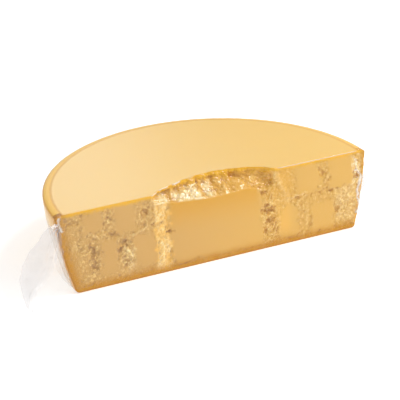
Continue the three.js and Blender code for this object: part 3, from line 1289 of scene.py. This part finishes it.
@dataclass
class CheeseHalf:
    """The cheese: half a wheel with its rind, its cut face and its scoop."""

    node: str = "cheese_half_wheel"
    cell: float = 0.78
    smooth_angle: float = 38.0
    rind_share_left: float = 0.8
    rind_share_right: float = 2.2
    edge_slack: float = 0.02
    rind_slack: float = 0.12
    face_reach: float = 7.0
    strip_left: float = -79.0
    strip_right: float = -55.0
    wheel: WheelForm = field(init=False)
    face: CutFace = field(init=False)
    grid: FaceGrid = field(init=False)
    axis: Vector = field(init=False)

    def __post_init__(self) -> None:
        """Takes the wheel's size and place from the frame."""
        low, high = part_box(self.node)
        radius = (high.x - low.x) / 2
        self.axis = Vector(((low.x + high.x) / 2, high.y - radius, low.z))
        self.wheel = WheelForm(radius=radius / MM, height=(high.z - low.z) / MM)
        self.face = CutFace(height=self.wheel.height)
        self.grid = FaceGrid(self.face, self.wheel, self.cell)

    def build(self) -> bpy.types.Object:
        """Cuts the half out of the whole wheel and marks it for its colours.

        Returns:
            The cheese, in place.
        """
        cheese = self.wheel.build("cheese_half", 0.0)
        cutter = self.grid.cutter("cheese_cutter", *self.grid.grained(1.0))
        apply_modifier(cheese, "BOOLEAN", operation="DIFFERENCE", solver="EXACT", object=cutter)
        drop(cutter)
        self.mark(cheese)
        cheese.data.transform(Matrix.Translation(self.axis))
        select_only(cheese)
        bpy.ops.object.shade_smooth_by_angle(angle=math.radians(self.smooth_angle))
        apply_modifier(cheese, "WEIGHTED_NORMAL", keep_sharp=True, weight=60)
        return cheese

    def mark(self, cheese: bpy.types.Object) -> None:
        """Keeps on the cheese what its colours depend on.

        Args:
            cheese: The cut half, about the wheel's axis.
        """
        x, y, z = (places_of(cheese) / MM).T
        self.mark_depths(cheese, x, y, z)
        self.mark_face(cheese)
        self.mark_break(cheese, x, z)
        self.mark_tones(cheese, x, z)

    def mark_depths(self, cheese: bpy.types.Object, x: Array, y: Array, z: Array) -> None:
        """Keeps how far each vertex lies from the rind, the base, the rim and the cut's left corner.

        Args:
            cheese: The cut half, about the wheel's axis.
            x: Its vertices' places along X.
            y: The same along Y.
            z: The same along Z.
        """
        wheel = self.wheel
        radius = np.hypot(x, y)
        side_depth = wheel.radius_at(z) - radius
        far = np.where(x > 0, self.rind_share_right, self.rind_share_left) * side_depth
        top_depth = (wheel.height - z) * (1.0 - 0.32 * self.face.in_scoop(x, z))
        skin = np.clip(np.minimum(np.minimum(far, top_depth), z), 0, None)
        store(cheese, "skin_depth", skin * MM)
        side_band = np.where(x > 0, side_depth + 6.0, side_depth * self.rind_share_left)
        store(cheese, "from_base", np.minimum(z, side_band) * MM)
        behind = y - self.grid.look_up(self.grid.base, x, z)
        corner = ease((12.0 - behind) / 8.0) * ease((-150 - x) / 20) * ease((wheel.widest - z) / 4.0)
        store(cheese, "corner", corner)
        store(cheese, "from_rim", np.clip(wheel.radius - radius, 0, None) * MM)
        store(cheese, "on_side", ease((wheel.widest - z) / 2.0))

    def mark_break(self, cheese: bpy.types.Object, x: Array, z: Array) -> None:
        """Keeps how broken, how rough, how hollow and how white each vertex is.

        Args:
            cheese: The cut half, about the wheel's axis.
            x: Its vertices' places along X.
            z: The same along Z.
        """
        grid = self.grid
        store(cheese, "broken", grid.look_up(grid.loose, x, z))
        # The hollows take the painted shadow spots as well.
        store(cheese, "hollow", grid.look_up(grid.hollow(), x, z) + self.face.shadow_spotted(x, z))
        store(cheese, "rough", grid.look_up(grid.rough, x, z))
        # Whiteness: painted glints and highlights on the ledge, the right end, the flaps and the left channel;
        # pale crumbs on the strip and low on the right.
        white = self.on_ledge(x, z) + self.beside_marks(x, z) + 0.1 * self.face.raised(x, z)
        store(cheese, "ledge", np.clip(white, 0, 1))

    def on_ledge(self, x: Array, z: Array) -> Array:
        """How white painted glints make the scoop's ledge: in upright tufts on its left, and fading to its
        right.

        Args:
            x: Places along the face.
            z: Places up the face.

        Returns:
            From 0 to 1.
        """
        up = self.face.up_scoop(x, z)
        stand = self.grid.look_up(self.grid.stand, x, z)
        # Painted highlight on the lumps that stand forward, strongest on the left.
        lit = ease(stand / 2.0 + 0.2) * (0.12 + 0.88 * ease((10 - x) / 30))
        tufts = ease(0.5 + 0.9 * np.cos((x + 62 + 3.5 * lumps(x, z, 7.0, 251)) / 3.2)) * ease((8 - x) / 16)
        low = ease(up * 6.0 + 0.4) * ease((0.78 - up) / 0.26)
        return low * ease(self.face.arch(x) * 14.0) * np.maximum(1.1 * lit, tufts)

    def strip(self, x: Array, z: Array) -> Array:
        """1 on the upright strip of smooth paste left of the middle mark."""
        stray = x + 3.2 * lumps(x, z, 6.0, 241) + 1.8 * lumps(x, z, 2.6, 242)
        return within(stray, self.strip_left, self.strip_right, 5, 6)

    def beside_marks(self, x: Array, z: Array) -> Array:
        """How white: pale crumbs on the strip, painted glints at the right end, painted highlight in the left
        channel.

        Args:
            x: Places along the face.
            z: Places up the face.

        Returns:
            From 0 to about 1.
        """
        rib = self.strip(x, z) * ease(0.7 + 0.8 * lumps(x, z, 6.0, 201))
        lower = 0.26 + 0.2 * ease((38 - z) / 12) - 0.2 * ease(1.2 - np.abs(z - 44) / 7)
        right = within(x, 168, 186, 6, 4) * ease((z - 50) / 8) * ease(lumps(x, z, 3.5, 211) + 0.75)
        low_right = within(x, 146, 181, 8, 8) * within(z, 8, 58, 8, 8)
        mid_left = ease(1.4 - np.hypot((x + 108) / 8, (z - 26) / 17)) * ease(lumps(x, z, 4.0, 221) + 0.6)
        return rib * lower + 0.9 * right + 0.2 * low_right + 0.3 * mid_left

    def mark_tones(self, cheese: bpy.types.Object, x: Array, z: Array) -> None:
        """Keeps where painted shade deepens the paste, and where it is scooped or warm.

        Args:
            cheese: The cut half, about the wheel's axis.
            x: Its vertices' places along X.
            z: The same along Z.
        """
        scooped = self.face.in_scoop(x, z)
        # Painted shade: deeper toward the scoop over the middle mark, and on the bulge right of the scoop.
        middle = within(x, -60, 56, 8, 8) * ease((z - 34) / 44) * (1.0 - 0.15 * scooped)
        store(cheese, "shade", middle + 0.5 * within(x, 54, 104, 10, 14) * ease((z - 46) / 20))
        store(cheese, "scooped", scooped * (0.3 + 0.7 * ease((x - 10) / 20)))
        right = within(x, 62, 98, 12, 14) * ease((z - 10) / 12)
        store(cheese, "warm", np.clip(0.85 * self.strip(x, z) + 0.45 * scooped + 0.4 * right, 0, 0.9))

    def mark_face(self, cheese: bpy.types.Object) -> None:
        """Keeps for each polygon whether it belongs to the cut face rather than to the rind.

        Args:
            cheese: The cut half, about the wheel's axis.
        """
        count = len(cheese.data.polygons)
        middles = np.empty(count * 3)
        cheese.data.polygons.foreach_get("center", middles)
        x, y, z = middles.reshape(-1, 3).T / MM
        inside = (self.wheel.height - z > self.edge_slack) & (z > self.edge_slack)
        inside &= self.wheel.radius_at(z) - np.hypot(x, y) > self.rind_slack
        cut = inside & (y - self.grid.look_up(self.grid.base, x, z) < self.face_reach)
        layer = cheese.data.attributes.new("on_face", "FLOAT", "FACE")
        layer.data.foreach_set("value", cut.astype(np.float32))


PLEATS = (
    Flap(184, 62, 178, 18, 1.9, 1.4),
    Flap(178, 68, 187, 58, 1.7, 1.2),
    Flap(188, 56, 183, 28, 1.6, 1.3),
    Flap(176, 84, 181, 68, 1.3, 0.7),
    Flap(-187, 89, -184, 74, 1.5, 1.4),
    Flap(-183, 91, -187, 82, 1.3, 1.0),
)

Chain = Sequence[tuple[float, float]]


@dataclass(frozen=True)
class Ribbon:
    """Loose film in a standing plane, in two layers, between two edges given as places out and up."""

    outer: Chain
    inner: Chain
    start: tuple[float, float]
    turn: float
    crumple: float
    pleats: float
    milkiness: float
    seed: int
    tip_forward: float = 0.0
    length: float = 90.0
    folds: float = 3.5
    layer_gap: float = 2.4
    edge_steps: int = 121
    edge_blur: int = 7
    across: int = 18
    along: int = 64

    def edge(self, chain: Chain, t: Array) -> Array:
        """Places on one edge.

        Args:
            chain: The edge's places out and up.
            t: Shares of the way along it.

        Returns:
            Rows of out and up.
        """
        points = np.array(chain, float)
        span = np.linspace(0, 1, len(points))
        fine = np.linspace(0, 1, self.edge_steps)
        reach = 2 * self.edge_blur + 1
        padded = [np.pad(np.interp(fine, span, axis), self.edge_blur, "edge") for axis in points.T]
        smooth = [np.convolve(axis, np.ones(reach) / reach, "valid") for axis in padded]
        return np.stack([np.interp(t, fine, axis) for axis in smooth], 1)

    def facets(self, back: Array, a: Array, b: Array, size: float, seed: int) -> Array:
        """Crumpled facets of a given size, of their own on each layer."""
        return np.where(back, crumbs(a, b, size, seed + 50), crumbs(a, b, size, seed))

    def form(self, flat: Array) -> tuple[Array, Array]:
        """Where the ribbon's points lie.

        Args:
            flat: The points of a flat grid that runs from -1 to 1 each way.

        Returns:
            Their places, in metres about the wheel's axis, and their distances from the inner edge, in
            millimetres.
        """
        round_way, t = flat[:, 0] + 1.0, (flat[:, 1] + 1.0) / 2
        layer = np.where(round_way > 1.0, 1, 0)
        u = 1.0 - np.abs(round_way - 1.0)
        inner, outer = self.edge(self.inner, t), self.edge(self.outer, t)
        out, up = (inner + (outer - inner) * u[:, None]).T
        wide = np.hypot(*(outer - inner).T)
        a, b = u * wide, t * self.length
        facets = self.facets(layer == 1, a, b * 0.5, 8.0, self.seed)
        fine = self.facets(layer == 1, a, b * 0.8, 4.0, self.seed + 20)
        free = np.minimum(1.0, 0.15 + 2.0 * t)
        both = 2.0 * np.sin(3.1 * t + 0.6) * (u - 0.5) + 0.9 * lumps(a, b, 12.0, self.seed + 90)
        pleat = self.pleats * np.sin(2 * np.pi * self.folds * u) * (1.0 - ease(t * 1.2))
        apart = (layer - 0.5) * self.layer_gap * np.sin(np.pi * u)
        closed = np.sin(np.pi * u) ** 0.4
        stand = (self.crumple * free * (2.2 * facets + 0.8 * fine) + apart * free) * closed
        stand = stand + self.crumple * free * 1.6 * both + pleat
        edge_ripple = 0.8 * self.crumple * lumps(b, a * 0.2, 6.0, self.seed + 33)
        out = out + edge_ripple * free + self.tip_forward * ease(2.0 * t - 1.0)
        stand = stand - 1.2 * self.tip_forward * ease(2.0 * t - 1.0)
        c, s = math.cos(self.turn), math.sin(self.turn)
        x = self.start[0] + out * c + stand * s
        y = self.start[1] + out * s - stand * c
        return np.stack([x, y, np.maximum(up, 0.4)], 1) * MM, a

    def build(self, name: str) -> bpy.types.Object:
        """Makes the ribbon as a flattened tube, crumpled.

        Args:
            name: The object's name.

        Returns:
            The ribbon, in metres about the wheel's axis.
        """
        bpy.ops.mesh.primitive_grid_add(x_subdivisions=2 * self.across, y_subdivisions=self.along, size=2.0)
        strip = bpy.context.object
        strip.name = name
        places, a = self.form(places_of(strip))
        set_places(strip, places)
        store(strip, "milkiness", self.milkiness * (0.35 + 0.65 * ease(a / 9.0)))
        store(strip, "loose", np.ones(len(strip.data.vertices)))
        bpy.ops.object.mode_set(mode="EDIT")
        bpy.ops.mesh.select_all(action="SELECT")
        bpy.ops.mesh.remove_doubles(threshold=0.02 * MM)
        bpy.ops.mesh.normals_make_consistent(inside=False)
        bpy.ops.object.mode_set(mode="OBJECT")
        return strip


LEFT_PLANE = {"start": (-188.4, -6.5), "turn": math.radians(180 + 27)}
TAIL = Ribbon(
    outer=((0, 86), (13, 86), (29.5, 78), (43, 69), (56, 60), (61, 50.6), (61, 37), (59.5, 24), (55, 11),
           (51.5, 0)),
    inner=((-3, 77), (0, 70), (3, 58), (6, 46), (10, 37), (22.5, 30), (32, 26), (39, 23), (44, 11), (49, 0)),
    crumple=1.6, pleats=1.6, milkiness=0.24, seed=300, tip_forward=5.0, **LEFT_PLANE)
LOBE = Ribbon(
    outer=((-2, 80), (1, 70), (4, 58), (7, 46), (8, 37), (-1, 20), (-10, 8), (-18, 0.5)),
    inner=((-5, 79), (-4, 70), (-5, 58), (-7, 46), (-9, 37), (-13, 20), (-17, 8), (-22, 0.5)),
    crumple=0.7, pleats=0.5, milkiness=0.16, seed=400, across=10, **LEFT_PLANE)
TAB = Ribbon(
    outer=((-2, 63), (3, 61), (10, 56), (8, 48), (2, 40), (-2, 30), (-7, 20)),
    inner=((-5, 63), (-4, 57), (-4, 50), (-5, 44), (-6, 36), (-8, 28), (-11, 19)),
    start=(186.5, 1.0), turn=math.radians(-12), crumple=0.6, pleats=0.6, milkiness=0.3, seed=500,
    across=8, along=40)


@dataclass
class FilmBag:
    """The clear film: its cling round the cheese, its tail with the lobe under it, and its tab."""

    cheese: CheeseHalf
    node: str = "vacuum_bag"
    cell: float = 1.2
    clear_of_cheese: float = 0.3
    least_gap: float = 0.22
    edge_round: float = 2.0
    smooth_angle: float = 60.0

    def cling(self) -> bpy.types.Object:
        """Draws the film tight round the cheese.

        Returns:
            The film's close skin, about the wheel's axis.
        """
        wheel = self.cheese.wheel
        grid = FaceGrid(self.cheese.face, wheel, self.cell)
        skin = wheel.build("film_cling", self.clear_of_cheese)
        x, y, z = grid.grained(0.9)
        close = blurred(lowest_near(y, 1), 1)
        bridged = blurred(lowest_near(y, 3), 3)
        scooped = blurred(self.cheese.face.in_scoop(grid.x, grid.z), 2)
        pleats = CutFace(wheel.height, flaps=PLEATS).raised(grid.x, grid.z)
        tight = bridged + (close - bridged) * scooped - self.clear_of_cheese - pleats
        cutter = grid.cutter("film_cutter", x, tight, z)
        apply_modifier(skin, "BOOLEAN", operation="DIFFERENCE", solver="EXACT", object=cutter)
        drop(cutter)
        self.round_edge(skin, grid, tight)
        self.mark(skin, grid, tight, pleats)
        return skin

    def mark(self, skin: bpy.types.Object, grid: FaceGrid, tight: Array, pleats: Array) -> None:
        """Keeps at each vertex how milky the film is, painted highlights included, and whether it hangs down
        the side.

        Args:
            skin: The film's close skin, about the wheel's axis.
            grid: The grid of its face.
            tight: Where its face lies along Y.
            pleats: How far its pleats stand ahead of that.
        """
        height = self.cheese.wheel.height
        x, y, z = (places_of(skin) / MM).T
        behind = y - grid.look_up(tight, x, z)
        on_pleat = grid.look_up(pleats, x, z) * (y < 8.0)
        below = z < height + self.clear_of_cheese - 0.05
        # Painted highlights: milky lines along the cut's top edge, steady on the right and broken into glints
        # left of the scoop.
        at_edge = below * ease(1.0 - np.abs(height - z) / 1.6) * (behind < 1.6)
        right_edge_highlight = within(x, 72, 182, 10, 8) * 0.5
        left_rim_glints = within(x, -84, -8, 8, 30) * ease(lumps(x, z, 6.0, 7) * 2.0 + 0.3) * 0.8
        under_rim = ease((80 + 5 * lumps(y, z * 0.3, 9.0, 29) - z) / 14)
        near_cut = ease((82 + 24 * lumps(z, y * 0.3, 16.0, 39) - y) / 62)
        hanging = ease((behind - 3.0) / 8.0) * ease((-x - 140) / 30) * under_rim * near_cut
        folds = 0.62 + 0.2 * lumps(y, z * 0.2, 7.0, 19)
        milk = 0.006 + 0.5 * np.clip(on_pleat, 0, 1.5) + at_edge * (right_edge_highlight + left_rim_glints) + hanging * folds
        store(skin, "milkiness", np.clip(milk, 0, 0.8))
        store(skin, "loose", np.zeros(len(x)))
        store(skin, "side", (behind > 1.0) * ease((height - 1.0 - z) / 3.0))

    def round_edge(self, skin: bpy.types.Object, grid: FaceGrid, tight: Array) -> None:
        """Rounds the film over the top edge of the cut.

        Args:
            skin: The film's close skin, about the wheel's axis.
            grid: The grid of its face.
            tight: Where its face lies along Y.
        """
        places = places_of(skin) / MM
        top = float(places[:, 2].max())
        ahead = places[:, 1] - grid.look_up(tight, places[:, 0], places[:, 2]) < 0.25
        on_edge = ahead & (places[:, 2] > top - 0.03)
        select_only(skin)
        bpy.ops.object.mode_set(mode="EDIT")
        bpy.ops.mesh.select_mode(type="EDGE")
        bpy.ops.mesh.select_all(action="DESELECT")
        bpy.ops.object.mode_set(mode="OBJECT")
        for edge in skin.data.edges:
            edge.select = bool(on_edge[edge.vertices[0]] and on_edge[edge.vertices[1]])
        bpy.ops.object.mode_set(mode="EDIT")
        bpy.ops.mesh.bevel(offset=self.edge_round * MM, segments=4, clamp_overlap=True)
        bpy.ops.mesh.select_mode(type="VERT")
        bpy.ops.object.mode_set(mode="OBJECT")

    def build(self, cheese: bpy.types.Object) -> bpy.types.Object:
        """Makes the whole bag.

        Args:
            cheese: The finished cheese, which the film may not enter.

        Returns:
            The bag, in place.
        """
        bag = self.cling()
        bag.data.transform(Matrix.Translation(self.cheese.axis))
        apply_modifier(bag, "SMOOTH", factor=0.5, iterations=1)
        apply_modifier(bag, "SHRINKWRAP", target=cheese, wrap_method="NEAREST_SURFACEPOINT",
                       wrap_mode="OUTSIDE_SURFACE", offset=self.least_gap * MM)
        loose = [ribbon.build(name) for name, ribbon in (("tail", TAIL), ("lobe", LOBE), ("tab", TAB))]
        for strip in loose:
            strip.data.transform(Matrix.Translation(self.cheese.axis))
        select_only(bag)
        for strip in loose:
            strip.select_set(True)
        bpy.ops.object.join()
        bag.name = "vacuum_film"
        select_only(bag)
        bpy.ops.object.shade_smooth_by_angle(angle=math.radians(self.smooth_angle))
        return bag


# ---- Studio ----------------------------------------------------------------------------------------------


class Role(Enum):
    """What a light is for."""

    SHADING = "shading"
    GLINTS = "glints"


@dataclass
class Studio:
    """Floor, lights and camera."""

    axis: Vector
    floor_size: float = 24.0
    turn: float = -24.74
    tilt: float = 24.67
    roll: float = 1.75
    distance: float = 1.9325
    lens: float = 151.5
    sensor: float = 36.0
    aim: tuple[float, float, float] = (0.00934, 0.060, 0.0424)
    lit_point: tuple[float, float, float] = (0.0, 0.06, 0.04)
    room_light: float = 0.72

    def build(self) -> None:
        """Sets the stage round the piece."""
        self.floor()
        self.world()
        self.lights()
        self.camera()

    def floor(self) -> None:
        """Lays the pale sweep."""
        bpy.ops.mesh.primitive_plane_add(size=self.floor_size)
        sweep = bpy.context.object
        sweep.name = "sweep"
        sweep.data.materials.append(SweepFinish().build())

    def world(self) -> None:
        """Fills the room with even white light."""
        world = bpy.data.worlds.new("room")
        world.use_nodes = True
        background = world.node_tree.nodes["Background"]
        background.inputs["Color"].default_value = (1.0, 1.0, 1.0, 1.0)
        background.inputs["Strength"].default_value = self.room_light
        bpy.context.scene.world = world
        bpy.context.scene.view_settings.view_transform = "Standard"

    def softbox(self, name: str, place: Sequence[float], size: float, power: float, role: Role) -> None:
        """Hangs a square soft light that faces the piece.

        Args:
            name: The light's name.
            place: Where it hangs, from the wheel's axis.
            size: Its side.
            power: Its power in watts.
            role: What it lights.
        """
        light = bpy.data.lights.new(name, "AREA")
        light.shape = "SQUARE"
        light.size = size
        light.energy = power
        lamp = bpy.data.objects.new(name, light)
        lamp.visible_glossy = role is not Role.SHADING
        lamp.visible_diffuse = role is not Role.GLINTS
        bpy.context.scene.collection.objects.link(lamp)
        lamp.location = self.axis + Vector(place)
        towards = self.axis + Vector(self.lit_point) - lamp.location
        lamp.rotation_euler = towards.to_track_quat("-Z", "Y").to_euler()

    def lights(self) -> None:
        """Hangs a key high on the right, a wide fill in front, a panel for glints and a faint sheen behind."""
        self.softbox("key", (0.66, -0.2, 1.3), 0.26, 8.0, Role.SHADING)
        self.softbox("fill", (1.1, -1.5, 0.8), 0.9, 6.2, Role.SHADING)
        self.softbox("panel", (0.8, -0.2, 1.25), 0.55, 14.0, Role.GLINTS)
        self.softbox("sheen", (0.4, 2.0, 1.0), 0.7, 1.1, Role.GLINTS)

    def camera(self) -> None:
        """Stands the camera."""
        turn, tilt, roll = (math.radians(angle) for angle in (self.turn, self.tilt, self.roll))
        back = Vector((math.sin(turn) * math.cos(tilt), -math.cos(turn) * math.cos(tilt), math.sin(tilt)))
        right = Vector((math.cos(turn), math.sin(turn), 0.0))
        up = back.cross(right)
        across = right * math.cos(roll) - up * math.sin(roll)
        above = right * math.sin(roll) + up * math.cos(roll)
        lens = bpy.data.cameras.new("view")
        lens.lens = self.lens
        lens.sensor_width = self.sensor
        camera = bpy.data.objects.new("view", lens)
        bpy.context.scene.collection.objects.link(camera)
        pose = Matrix((across, above, back)).transposed().to_4x4()
        pose.translation = self.axis + Vector(self.aim) + back * self.distance
        camera.matrix_world = pose
        bpy.context.scene.camera = camera


def main() -> None:
    """Builds the piece and its studio."""
    logging.basicConfig(level=logging.INFO, format="%(message)s")
    maker = CheeseHalf()
    cheese = maker.build()
    bag = FilmBag(maker).build(cheese)
    finish_piece(cheese, maker.node, CheeseFinish().build())
    finish_piece(bag, FilmBag.node, FilmFinish().build())
    Studio(maker.axis).build()


if __name__ == "__main__":
    main()
